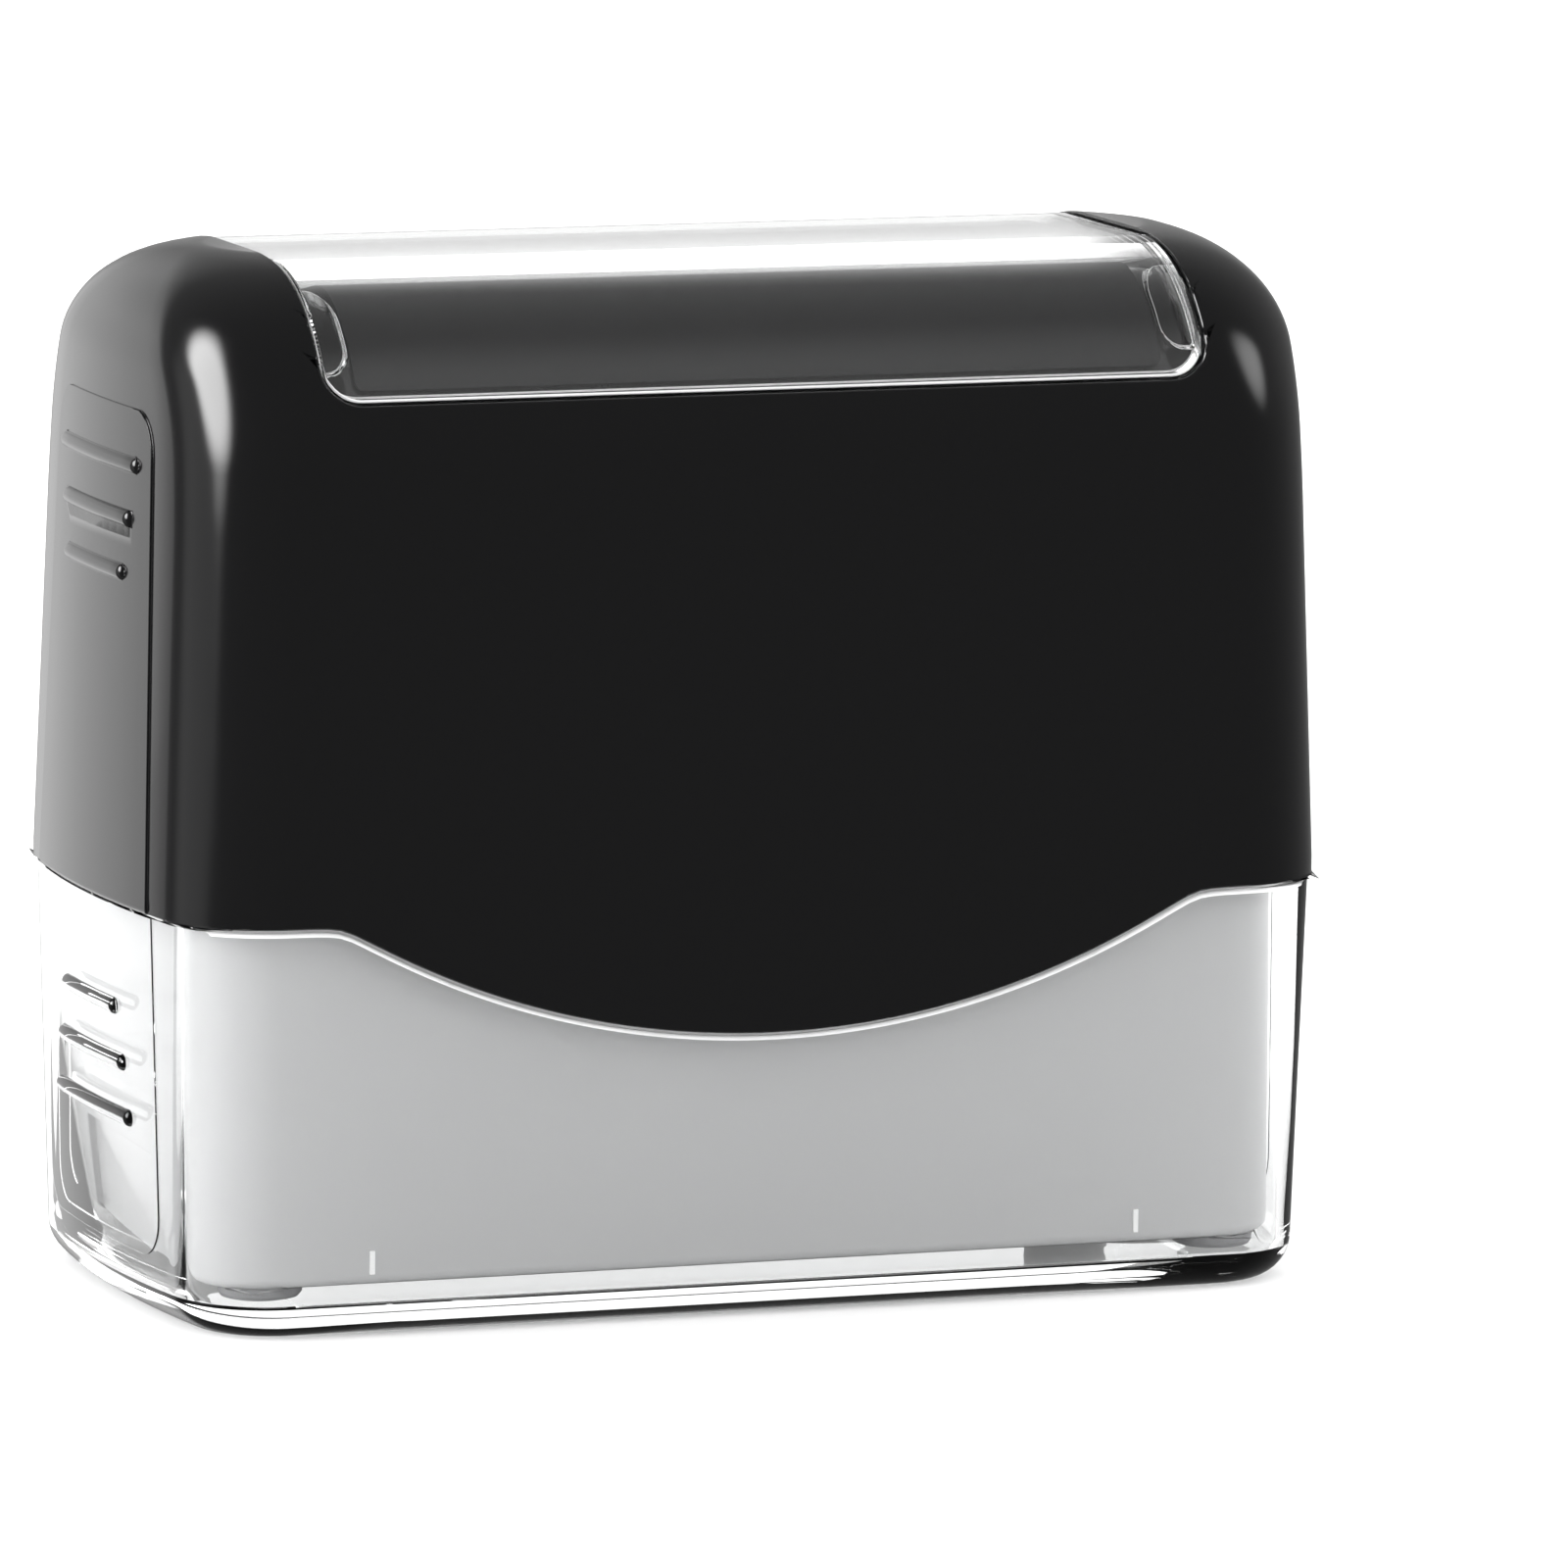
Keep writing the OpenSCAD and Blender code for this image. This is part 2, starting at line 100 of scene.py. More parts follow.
# End panels and grip ribs
PANEL_HALF, PANEL_R, PANEL_RISE, PANEL_TAPER = 11.2, 2.6, 0.15, 0.058
PANEL_LOW, PANEL_HIGH = 4.2, 56.9
CAP_PANEL_RISE = 0.1
RIB_R, RIB_SINK = 0.55, 0.15
SHELL_RIBS = ((53.4, 7.2), (50.0, 6.2), (46.6, 5.4))
CAP_RIBS = ((19.3, 4.9), (15.9, 6.1), (12.5, 7.0))

# Cap
CAP_STEP = 0.3
CAP_DRAFT, CAP_END_DRAFT = 0.02, 0.03
CAP_FLOOR = 1.9
CAP_EDGE_R = 2.6
CAP_WALL = 1.85
RIM_GAP = 0.2
LIP_H, LIP_INSET, LIP_LOW, LIP_FIT = 2.2, 0.95, 14.0, 0.15
# Cove between the walls and the floor: its radius, and its sag half way round
COVE_R, COVE_SAG = 0.9, 0.26
CAP_RECESS_X, CAP_RECESS_Y, CAP_RECESS_DEPTH = 29.9, 15.4, 0.6

# Skirt
SKIRT_X, SKIRT_Y, SKIRT_R, SKIRT_WALL = 35.9, 16.4, 4.6, 1.4
SKIRT_Z, SKIRT_TOP, SHELF_T, SHELF_IN = 2.85, 38.05, 1.4, 25.2
SKIRT_EDGE_R = 0.7
PIN_R, PIN_H = 1.9, 3.0
FOOT_X, FOOT_Y, FOOT_R, FOOT_T, FOOT_BOSS_H = 31.7, 13.4, 2.6, 0.85, 1.3
GUIDE_IN, GUIDE_Y, GUIDE_T, RAIL_Z = 33.2, 2.5, 1.0, 14.0
TICK_X, TICK_W, TICK_H, TICK_T = 25.4, 0.35, 1.5, 0.15
NOTCH_HALF, NOTCH_TOP, NOTCH_DEPTH = 8.8, 9.7, 0.5

# Springs, screws, plugs and die
SPRING_X, SPRING_Y, SPRING_R, WIRE_R, SPRING_TURNS = 29.0, 7.5, 2.925, 0.375, 6
SPRING_SEAT_Z = 52.0
# Turns at each end that lie closer together, and the height that they climb
CLOSED_TURNS, CLOSED_RISE = 0.7, 0.3
# Share of the rise that is spread over all turns alike
EVEN_RISE = 0.07
SCREW_X, SCREW_R, SCREW_TIP, SCREW_HEAD_Z = 8.0, 1.25, 42.0, 62.0
SCREW_HEAD_R, SCREW_HEAD_H = 2.6, 1.5
SCREW_POINT_R, SCREW_POINT_H, SCREW_NECK_H = 0.3, 0.9, 4.0
THREAD_ROOT_R, THREAD_PITCH, THREAD_HALF, THREAD_START = 0.78 * SCREW_R, 0.9, 0.3, 1.3
CROSS_LONG, CROSS_THIN, CROSS_DEPTH = 1.4, 0.3, 1.0
PLUG_X, PLUG_R, PLUG_LOW, PLUG_HEAD_Z, PLUG_HEAD_R, PLUG_HEAD_H = 18.0, 2.5, 55.0, 62.3, 3.8, 1.1
GROOVE_Z, GROOVE_HALF, GROOVE_DEPTH = 57.4, 0.4, 0.25
DIMPLE_R, DIMPLE_DEPTH = 1.9, 0.45
BORE_LOW, BORE_HIGH, SCREW_GAP, PLUG_GAP, HEAD_GAP = 48.0, 69.0, 0.1, 0.05, 0.1
DIE_X, DIE_Y, DIE_R, DIE_Z = 30.0, 11.0, 0.8, 6.85
DIE_FLANGE, DIE_FLANGE_R, DIE_FLANGE_Z, DIE_TOP, DIE_RELIEF = 1.3, 1.2, 9.6, 11.0, 0.8
DIE_BORDER, DIE_GROUND_R, LINE_HALF = 1.0, 0.5, 24.0
# Raised lines on the die: place across it, height of the wave, number of waves
DIE_LINES = ((2.6, 2.4, 3.5), (-5.6, 0.7, 1.0))

# Widths of the rounded edges
APRON_EDGE, SEAT_EDGE, FINE_EDGE = 0.36, 0.2, 0.05
WINDOW_EDGE, PAD_EDGE = 0.2, 0.07
# The rounded rim edge of the cap, which carries a painted highlight, stops before the end panels
RIM_EDGE, RIM_EDGE_END = 0.26, 36.0
SKIRT_EDGE, DIE_EDGE = 0.12, 0.08

ARC_STEPS = 12
END_STEPS = 5
SIDE_STEPS = 4
CROWN_LEVELS, CROWN_STEPS = 34, 40
BELLY_STEPS, BELLY_REACH = 40, 1.12
PANEL_ROWS, PANEL_COLUMNS = 44, 14
RIB_RINGS, RIB_SIDES = 10, 24
SPRING_STEPS, LINE_STEPS = 28, 90
MERGE_DISTANCE = 0.004
# Limits that lie outside the whole object
FAR, BELOW, ABOVE = 60.0, -5.0, 90.0


# ---------------------------------------------------------------- mesh helpers
def bowed_loop(hx, hy, r, end_r):
    """Plan outline with rounded corners and outward bowed ends, always the same number of points."""
    turn = math.asin((hy - r) / (end_r - r))
    cx = hx - end_r + (end_r - r) * math.cos(turn)
    quarter = [(hx - end_r + end_r * math.cos(turn * i / END_STEPS),
                end_r * math.sin(turn * i / END_STEPS)) for i in range(END_STEPS)]
    for i in range(ARC_STEPS + 1):
        t = turn + (QUARTER - turn) * i / ARC_STEPS
        quarter.append((cx + r * math.cos(t), hy - r + r * math.sin(t)))
    quarter += [(cx * (1 - i / SIDE_STEPS), hy) for i in range(1, SIDE_STEPS + 1)]
    left = [(-x, y) for x, y in reversed(quarter[:-1])]
    upper = quarter + left
    return upper + [(x, -y) for x, y in reversed(upper[1:-1])]


def round_loop(hx, hy, r, steps=8):
    """Rounded rectangle with straight sides."""
    points = []
    for quarter, (sx, sy) in enumerate(((1, 1), (-1, 1), (-1, -1), (1, -1))):
        for i in range(steps + 1):
            t = QUARTER * (quarter + i / steps)
            points.append((sx * (hx - r) + r * math.cos(t), sy * (hy - r) + r * math.sin(t)))
    return points


def at_height(points, z):
    return [(x, y, z) for x, y in points]


def new_object(name, bm):
    mesh = bpy.data.meshes.new(name)
    bm.to_mesh(mesh)
    bm.free()
    obj = bpy.data.objects.new(name, mesh)
    bpy.context.scene.collection.objects.link(obj)
    return obj


def lofted(name, loops):
    """Closed skin over a list of loops of 3-D points, in millimetres."""
    bm = bmesh.new()
    rows = [[bm.verts.new(Vector(p) * MM) for p in loop] for loop in loops]
    n = len(rows[0])
    for low, high in zip(rows, rows[1:]):
        for i in range(n):
            j = (i + 1) % n
            bm.faces.new((low[i], low[j], high[j], high[i]))
    bm.faces.new(rows[0][::-1])
    bm.faces.new(rows[-1])
    bmesh.ops.recalc_face_normals(bm, faces=bm.faces)
    return new_object(name, bm)


def combine(obj, tool, operation="DIFFERENCE"):
    """Applies an exact boolean with tool, which is then removed."""
    modifier = obj.modifiers.new("combine", "BOOLEAN")
    modifier.operation = operation
    modifier.solver = "EXACT"
    modifier.object = tool
    graph = bpy.context.evaluated_depsgraph_get()
    result = bpy.data.meshes.new_from_object(obj.evaluated_get(graph))
    obj.modifiers.remove(modifier)
    obj.data = result
    bpy.data.objects.remove(tool)


def smooth(obj, width_at=None, segments=3, angle=28.0):
    """Smooth shading; real edges between faces are rounded to width_at(midpoint), in millimetres."""
    bm = bmesh.new()
    bm.from_mesh(obj.data)
    bmesh.ops.remove_doubles(bm, verts=bm.verts, dist=MERGE_DISTANCE * MM)
    weight = bm.edges.layers.float.new("bevel_weight_edge")
    widths = {}
    for edge in bm.edges:
        edge.smooth = edge.calc_face_angle(0) < math.radians(angle)
        if width_at and not edge.smooth:
            widths[edge] = width_at((edge.verts[0].co + edge.verts[1].co) / 2 / MM)
    widest = max(widths.values(), default=0)
    for edge, width in widths.items():
        edge[weight] = width / widest
    for face in bm.faces:
        face.smooth = True
    bm.to_mesh(obj.data)
    bm.free()
    if widest:
        modifier = obj.modifiers.new("edges", "BEVEL")
        modifier.width = widest * MM
        modifier.segments = segments
        modifier.limit_method = "WEIGHT"
        modifier.harden_normals = True
        modifier.use_clamp_overlap = False
    return obj


def turned(name, x, y, profile, sides=32):
    """Body of revolution about a vertical axis; profile lists (radius, height)."""
    return lofted(name, [[(x + r * math.cos(2 * math.pi * k / sides),
                           y + r * math.sin(2 * math.pi * k / sides), z) for k in range(sides)]
                         for r, z in profile])


def box_solid(name, low, high):
    (x0, y0, z0), (x1, y1, z1) = low, high
    return lofted(name, [[(x0, y0, z), (x1, y0, z), (x1, y1, z), (x0, y1, z)] for z in (z0, z1)])


def swept(path, r, sides=10):
    """Loops of a round wire along a path of 3-D points."""
    loops = []
    for i, point in enumerate(path):
        ahead = Vector(path[min(i + 1, len(path) - 1)]) - Vector(path[max(i - 1, 0)])
        ahead.normalize()
        across = ahead.cross(Vector((0, 0, 1))).normalized()
        up = across.cross(ahead)
        loops.append([Vector(point) + r * (math.cos(2 * math.pi * k / sides) * across
                                           + math.sin(2 * math.pi * k / sides) * up)
                      for k in range(sides)])
    return loops


# ---------------------------------------------------------------- handle form
def bow(y):
    """How far the bowed end has fallen back at y."""
    return END_R - math.sqrt(END_R ** 2 - y * y)


def shell_x(z):
    """Half length of the handle at height z."""
    if z < EDGE_START:
        return HALF_X - END_DRAFT * max(0.0, z - PARTING_Z)
    return EDGE_X + math.sqrt(max(0.0, EDGE_R ** 2 - (z - EDGE_Z) ** 2))


def shell_y(z):
    """Half depth of the handle at height z."""
    if z < ARC_Z:
        return HALF_Y - SHELL_DRAFT * max(0.0, z - PARTING_Z)
    return ARC_Y + math.sqrt(max(0.0, TOP_R ** 2 - (z - ARC_Z) ** 2))


def shell_corner(z):
    """Plan radius of the handle's corner at height z, a little wider near the top."""
    t = min(1.0, max(0.0, (z - CORNER_GROW_LOW) / CORNER_GROW_SPAN))
    return min(shell_y(z) - 0.03, CORNER_R + CORNER_GROW * t * t * (3 - 2 * t))


def shell_loop(z, inset=0.0, widest=FAR):
    """Level outline of the handle, drawn inward by inset and cut off beyond widest."""
    hy = min(shell_y(z) - inset, widest)
    r = min(max(LEAST_CORNER_R, shell_corner(z) - inset), hy - 0.02)
    return at_height(bowed_loop(shell_x(z) - inset, hy, r, END_R - inset), z)


def shell_levels(low):
    crown = [ARC_Z + TOP_R * math.sin(QUARTER * i / CROWN_LEVELS) for i in range(CROWN_LEVELS)]
    return [low, FIRST_LEVEL, *WALL_LEVELS, *crown, TOP_Z - 0.002]


def belly_height(x, shift=0.0):
    """Height of the apron edge at x, with a small blend where the arc meets the straight edge."""
    x = max(-HALF_X, min(HALF_X, x))
    arc = BELLY_CZ - math.sqrt(BELLY_R ** 2 - x * x)
    gap = PARTING_Z - arc
    return shift + PARTING_Z - (gap + math.sqrt(gap * gap + 4 * KINK_BLEND ** 2)) / 2


def belly_stations():
    inner = range(-BELLY_STEPS, BELLY_STEPS + 1)
    return [-FAR] + [BELLY_HALF * BELLY_REACH * i / BELLY_STEPS for i in inner] + [FAR]


def belly_solid(name, shift, limit):
    """Solid between the apron edge moved by shift and the height limit."""
    return lofted(name, [[(x, -FAR, limit), (x, FAR, limit), (x, FAR, belly_height(x, shift)),
                          (x, -FAR, belly_height(x, shift))] for x in belly_stations()])


def shell_panel_half(z):
    return PANEL_HALF - PANEL_TAPER * max(0.0, z - PARTING_Z)


def panel_block(name, side, x_at, half_at, low, high, rise=PANEL_RISE):
    """Raised end panel on a bowed end, with rounded corners at PANEL_LOW and PANEL_HIGH."""
    loops = []
    for i in range(PANEL_ROWS + 1):
        z = low + (high - low) * (1 - math.cos(math.pi * i / PANEL_ROWS)) / 2
        edge = min(z - PANEL_LOW, PANEL_HIGH - z)
        width = half_at(z)
        if edge < PANEL_R:
            width += math.sqrt(max(0.0, PANEL_R ** 2 - (PANEL_R - edge) ** 2)) - PANEL_R
        across = [width * (2 * k / PANEL_COLUMNS - 1) for k in range(PANEL_COLUMNS + 1)]
        loop = [(side * (x_at(z) + rise - bow(y)), y, z) for y in across]
        loops.append(loop + [(side * (x_at(z) - SHELL_WALL / 2), y, z) for y in reversed(across)])
    return lofted(name, loops)


def add_ribs(obj, ribs, x_at):
    """Grip ribs: round bars that follow the bowed end, with round ends."""
    turns = [QUARTER * i / RIB_RINGS for i in range(1, RIB_RINGS)]
    around = [2 * math.pi * k / RIB_SIDES for k in range(RIB_SIDES)]
    for side in (-1, 1):
        for z, half in ribs:
            # Each station is a place along the rib and the share of its full radius there
            first_end = [(-half - RIB_R * math.cos(t), math.sin(t)) for t in turns]
            middle = [(half * (k / 4 - 1), 1.0) for k in range(9)]
            last_end = [(-y, s) for y, s in reversed(first_end)]
            x = x_at(z) + PANEL_RISE - RIB_SINK
            loops = [[(side * (x - bow(y) + RIB_R * s * math.cos(a)), y, z + RIB_R * s * math.sin(a))
                      for a in around] for y, s in first_end + middle + last_end]
            combine(obj, lofted("rib", loops), "UNION")


def crown_path(inset, z_low):
    """Points (y, z) over the crown at a depth under the skin, from the front z_low to the back."""
    r = TOP_R - inset
    start = math.asin(max(-1.0, min(1.0, (z_low - ARC_Z) / r)))
    quarter = [(ARC_Y + r * math.cos(t), ARC_Z + r * math.sin(t))
               for t in (start + (QUARTER - start) * i / CROWN_STEPS for i in range(CROWN_STEPS + 1))]
    return [(-y, z) for y, z in quarter] + [(y, z) for y, z in reversed(quarter)]


def corner_low(x, half, low, r):
    """Lower edge height at x of an outline with rounded lower corners."""
    over = abs(x) - (half - r)
    return low if over <= 0 else low + r - math.sqrt(max(0.0, r * r - over * over))


def crown_solid(name, outer, inner, half, low, r):
    """Curved layer between two depths under the crown."""
    ends = [half - r + r * math.sin(QUARTER * i / ARC_STEPS) for i in range(ARC_STEPS + 1)]
    loops = []
    for x in [-x for x in reversed(ends)] + [-12.0, 0.0, 12.0] + ends:
        z = corner_low(x, half, low, r)
        layer = crown_path(outer, z) + crown_path(inner, z)[::-1]
        loops.append([(x, y, h) for y, h in layer])
    return lofted(name, loops)


def upright_block(name, x0, x1, low, high, r):
    """Block through the whole depth with a rounded outline seen from the front."""
    cx, cz = (x0 + x1) / 2, (low + high) / 2
    outline = round_loop(abs(x1 - x0) / 2, (high - low) / 2, r, 6)
    return lofted(name, [[(cx + x, y, cz + z) for x, z in outline] for y in (-FAR, FAR)])


def cavity_y(z):
    """Limit of the cavity's half depth, which leaves a thick roof under the crown."""
    if z < ARC_Z:
        return FAR
    return ARC_Y + math.sqrt(max(0.0, (TOP_R - ROOF_INSET) ** 2 - (z - ARC_Z) ** 2))


def make_handle():
    shell = lofted("handle_moulding", [shell_loop(z) for z in shell_levels(PARTING_Z - BELLY_DROP - 1)])
    for side in (-1, 1):
        combine(shell, panel_block("panel", side, shell_x, shell_panel_half, PARTING_Z - 12, PANEL_HIGH),
                "UNION")
    # The cavity stops under the roof; the rebate under it takes the lip of the cap
    inside = [PARTING_Z - BELLY_DROP - 3] + [z for z in shell_levels(PARTING_Z - 1)[1:]
                                             if z < TOP_Z - ROOF_INSET - 0.05]
    combine(shell, lofted("cavity", [shell_loop(z, SHELL_WALL, cavity_y(z)) for z in inside]))
    rebate = lofted("rebate", [shell_loop(z, LIP_INSET - LIP_FIT) for z in inside[:4]])
    combine(rebate, belly_solid("below", LIP_H + 2 * RIM_GAP, BELOW), "INTERSECT")
    combine(shell, rebate)
    combine(shell, belly_solid("below", 0.0, BELOW))
    combine(shell, crown_solid("seat", -3.0, SEAT_INSET, WINDOW_HALF, WINDOW_Z, WINDOW_CORNER_R))
    for side in (-1, 1):
        pocket = crown_solid("pocket", SEAT_INSET - 0.5, SEAT_INSET + POCKET_DEPTH, WINDOW_HALF - 0.1,
                             POCKET_LOW, 0.4)
        combine(pocket, upright_block("cell", side * POCKET_IN, side * POCKET_OUT, POCKET_LOW, PAD_LOW,
                                      0.3), "INTERSECT")
        combine(shell, pocket)
        for x, r in ((SCREW_X, SCREW_R + SCREW_GAP), (PLUG_X, PLUG_R + PLUG_GAP)):
            combine(shell, turned("bore", side * x, 0, [(r, BORE_LOW), (r, BORE_HIGH)]))
        for x, r, z in ((SCREW_X, SCREW_HEAD_R + HEAD_GAP, SCREW_HEAD_Z),
                        (PLUG_X, PLUG_HEAD_R + HEAD_GAP, PLUG_HEAD_Z)):
            combine(shell, turned("head", side * x, 0, [(r, z), (r, BORE_HIGH + 1)]))
    add_ribs(shell, SHELL_RIBS, shell_x)
    return smooth(shell, shell_edge_width)


def shell_edge_width(p):
    """How far each sharp edge of the handle is rounded."""
    skin = max(abs(p.x) - shell_x(p.z), abs(p.y) - shell_y(p.z))
    if abs(p.z - belly_height(p.x)) < 0.1 and skin > -0.8:
        return APRON_EDGE
    if p.z > WINDOW_Z - 0.5 and abs(p.x) < WINDOW_HALF + 0.1 and skin > -0.25:
        return SEAT_EDGE
    return FINE_EDGE


# ---------------------------------------------------------------- window and card
def crown_depth(p):
    """Depth of a point under the crown."""
    return TOP_R - math.hypot(max(0.0, abs(p.y) - ARC_Y), p.z - ARC_Z)


def make_window():
    """Clear window with snap pads near its corners; its second material paints a highlight on the rounded
    edges.
    """
    half = WINDOW_HALF - WINDOW_FIT
    under = WINDOW_SINK + WINDOW_T
    window = crown_solid("index_window_moulding", WINDOW_SINK, under, half, WINDOW_Z + WINDOW_FIT,
                         WINDOW_CORNER_R - WINDOW_FIT)
    for side in (-1, 1):
        pad = crown_solid("pad", under - 0.1, under + PAD_T, half - 0.1, PAD_LOW, 0.3)
        combine(pad, upright_block("outline", side * PAD_IN, side * (HALF_X + 1), PAD_LOW, PAD_HIGH, 1.4),
                "INTERSECT")
        combine(window, pad, "UNION")
    smooth(window, lambda p: WINDOW_EDGE if crown_depth(p) < under - 0.1 else PAD_EDGE)
    window.modifiers["edges"].material = 1
    return window


def make_card():
    """Card that bends over the crown in its seat, between the pads."""
    card = crown_solid("index_card_sheet", SEAT_INSET - CARD_T, SEAT_INSET - 0.02,
                       PAD_IN - 0.3, WINDOW_Z + 0.5, 0.6)
    return smooth(card)


# ---------------------------------------------------------------- cap
def cap_x(z):
    return HALF_X - CAP_STEP - CAP_END_DRAFT * (PARTING_Z - z)


def cap_y(z):
    return HALF_Y - CAP_STEP - CAP_DRAFT * (PARTING_Z - z)


def cap_wall_loop(z, inset):
    """Level outline that stands upright, drawn inward from the parting line by inset."""
    return at_height(bowed_loop(HALF_X - inset, HALF_Y - inset, CORNER_R - inset, END_R - inset), z)


def cap_edge_width(p):
    """How far each sharp edge of the cap is rounded."""
    at_rim = abs(p.z - belly_height(p.x, -RIM_GAP)) < 0.1
    return RIM_EDGE if at_rim and abs(p.x) < RIM_EDGE_END else 0.0


def make_cap():
    """Clear cap with a lip, a hollow and grip ribs; its second material paints a highlight on the rounded
    rim.
    """
    lower = [CAP_EDGE_R * (1 - math.cos(QUARTER * i / 10)) for i in range(11)]
    loops = []
    for z in lower + [4.0, 6.0, 10.0, 14.0, 18.0, 22.0, PARTING_Z + 1]:
        rest = max(0.0, CAP_EDGE_R - z)
        dip = CAP_EDGE_R - math.sqrt(CAP_EDGE_R ** 2 - rest ** 2)
        loops.append(at_height(bowed_loop(cap_x(z) - dip, cap_y(z) - dip, CORNER_R - CAP_STEP - dip,
                                          END_R - CAP_STEP - dip), z))
    cap = lofted("dust_cap_moulding", loops)
    for side in (-1, 1):
        combine(cap, panel_block("panel", side, cap_x, lambda z: PANEL_HALF, PANEL_LOW, PARTING_Z + 5,
                                 CAP_PANEL_RISE), "UNION")
    combine(cap, belly_solid("above", -RIM_GAP, ABOVE))
    lip = lofted("lip", [cap_wall_loop(z, LIP_INSET) for z in (LIP_LOW, 35.0)])
    combine(lip, belly_solid("above", LIP_H - RIM_GAP, ABOVE))
    combine(cap, lip, "UNION")
    inner = [(CAP_FLOOR, COVE_R), (CAP_FLOOR + COVE_SAG, COVE_SAG), (CAP_FLOOR + COVE_R, 0.0), (40.0, 0.0)]
    combine(cap, lofted("hollow", [cap_wall_loop(z, CAP_WALL + d) for z, d in inner]))
    add_ribs(cap, CAP_RIBS, cap_x)
    recess = round_loop(CAP_RECESS_X, CAP_RECESS_Y, 1.0)
    combine(cap, lofted("recess", [at_height(recess, z) for z in (-1.0, CAP_RECESS_DEPTH)]))
    smooth(cap, cap_edge_width)
    cap.modifiers["edges"].material = 1
    return cap


# ---------------------------------------------------------------- skirt and feet
def make_skirt():
    r = SKIRT_EDGE_R
    levels = [(SKIRT_Z + r * (1 - math.cos(QUARTER * i / 5)), r * (1 - math.sin(QUARTER * i / 5)))
              for i in range(6)] + [(12.0, 0.0), (24.0, 0.0), (SKIRT_TOP, 0.0)]
    skirt = lofted("skirt_moulding", [
        at_height(round_loop(SKIRT_X - d, SKIRT_Y - d, SKIRT_R - d), z) for z, d in levels])
    in_x, in_y = SKIRT_X - SKIRT_WALL, SKIRT_Y - SKIRT_WALL
    inner = round_loop(in_x, in_y, SKIRT_R - SKIRT_WALL)
    combine(skirt, lofted("inside", [at_height(inner, z) for z in (SKIRT_Z - 1, SKIRT_TOP - SHELF_T)]))
    combine(skirt, box_solid("mouth", (-SHELF_IN, -in_y, SKIRT_TOP - 3), (SHELF_IN, in_y, SKIRT_TOP + 2)))
    for sx in (-1, 1):
        for sy in (-1, 1):
            x, y = sx * SPRING_X, sy * SPRING_Y
            top = SKIRT_TOP + PIN_H
            combine(skirt, turned("pin", x, y, [(PIN_R, SKIRT_TOP - 0.5), (PIN_R, top - 0.4),
                                                (PIN_R - 0.4, top)]), "UNION")
            boss = turned("boss", sx * FOOT_X, sy * FOOT_Y,
                          [(FOOT_R + 0.1, SKIRT_Z), (FOOT_R + 0.1, SKIRT_Z + FOOT_BOSS_H)])
            limit = round_loop(SKIRT_X - 0.5, SKIRT_Y - 0.5, SKIRT_R - 0.5)
            combine(boss, lofted("limit", [at_height(limit, z) for z in (0.0, 9.0)]), "INTERSECT")
            combine(skirt, boss, "UNION")
            guide = sorted((sy * GUIDE_Y, sy * (GUIDE_Y + GUIDE_T)))
            reach = sorted((sx * GUIDE_IN, sx * (in_x + 0.5)))
            combine(skirt, box_solid("guide", (reach[0], guide[0], RAIL_Z),
                                     (reach[1], guide[1], SKIRT_TOP - SHELF_T + 0.1)), "UNION")
    for side in (-1, 1):
        notch = sorted((side * (SKIRT_X - NOTCH_DEPTH), side * (HALF_X + 1)))
        combine(skirt, box_solid("notch", (notch[0], -NOTCH_HALF, 0.0), (notch[1], NOTCH_HALF, NOTCH_TOP)))
    return smooth(skirt, lambda p: SKIRT_EDGE)


def make_ticks():
    """Light alignment marks inlaid low on both long sides of the skirt."""
    bm = bmesh.new()
    for sx in (-1, 1):
        for sy in (-1, 1):
            bmesh.ops.create_cube(bm, size=MM, matrix=Matrix.Translation(Vector(
                (sx * TICK_X, sy * (SKIRT_Y + TICK_T / 2 - 0.05), SKIRT_Z + SKIRT_EDGE_R + TICK_H / 2)) * MM)
                @ Matrix.Diagonal((TICK_W, TICK_T, TICK_H, 1)))
    return smooth(new_object("skirt_marks", bm), lambda p: FINE_EDGE, segments=2)


def make_foot(index, x, y):
    low, top = SKIRT_Z - FOOT_T, SKIRT_Z
    return smooth(turned(f"skirt_foot_{index}", x, y, [
        (FOOT_R - 0.45, low), (FOOT_R - 0.18, low + 0.08), (FOOT_R, low + 0.35), (FOOT_R, top)], 40))


# ---------------------------------------------------------------- springs, fasteners and die
def make_spring(name, x, y):
    """Round wire whose end turns lie closer together."""
    low, high = SKIRT_TOP + WIRE_R, SPRING_SEAT_Z - WIRE_R
    steps = SPRING_STEPS * SPRING_TURNS
    path = []
    for i in range(steps + 1):
        turns = SPRING_TURNS * i / steps
        t = min(1.0, max(0.0, (turns - CLOSED_TURNS) / (SPRING_TURNS - 2 * CLOSED_TURNS)))
        at_ends = min(turns, CLOSED_TURNS) - max(0.0, turns - SPRING_TURNS + CLOSED_TURNS)
        climb = (1 - EVEN_RISE) * t + EVEN_RISE * turns / SPRING_TURNS
        z = low + CLOSED_RISE * at_ends / CLOSED_TURNS + (high - low) * climb
        a = 2 * math.pi * turns
        path.append((x + SPRING_R * math.cos(a), y + SPRING_R * math.sin(a), min(high, z)))
    return smooth(lofted(name, swept(path, WIRE_R)), angle=60.0)


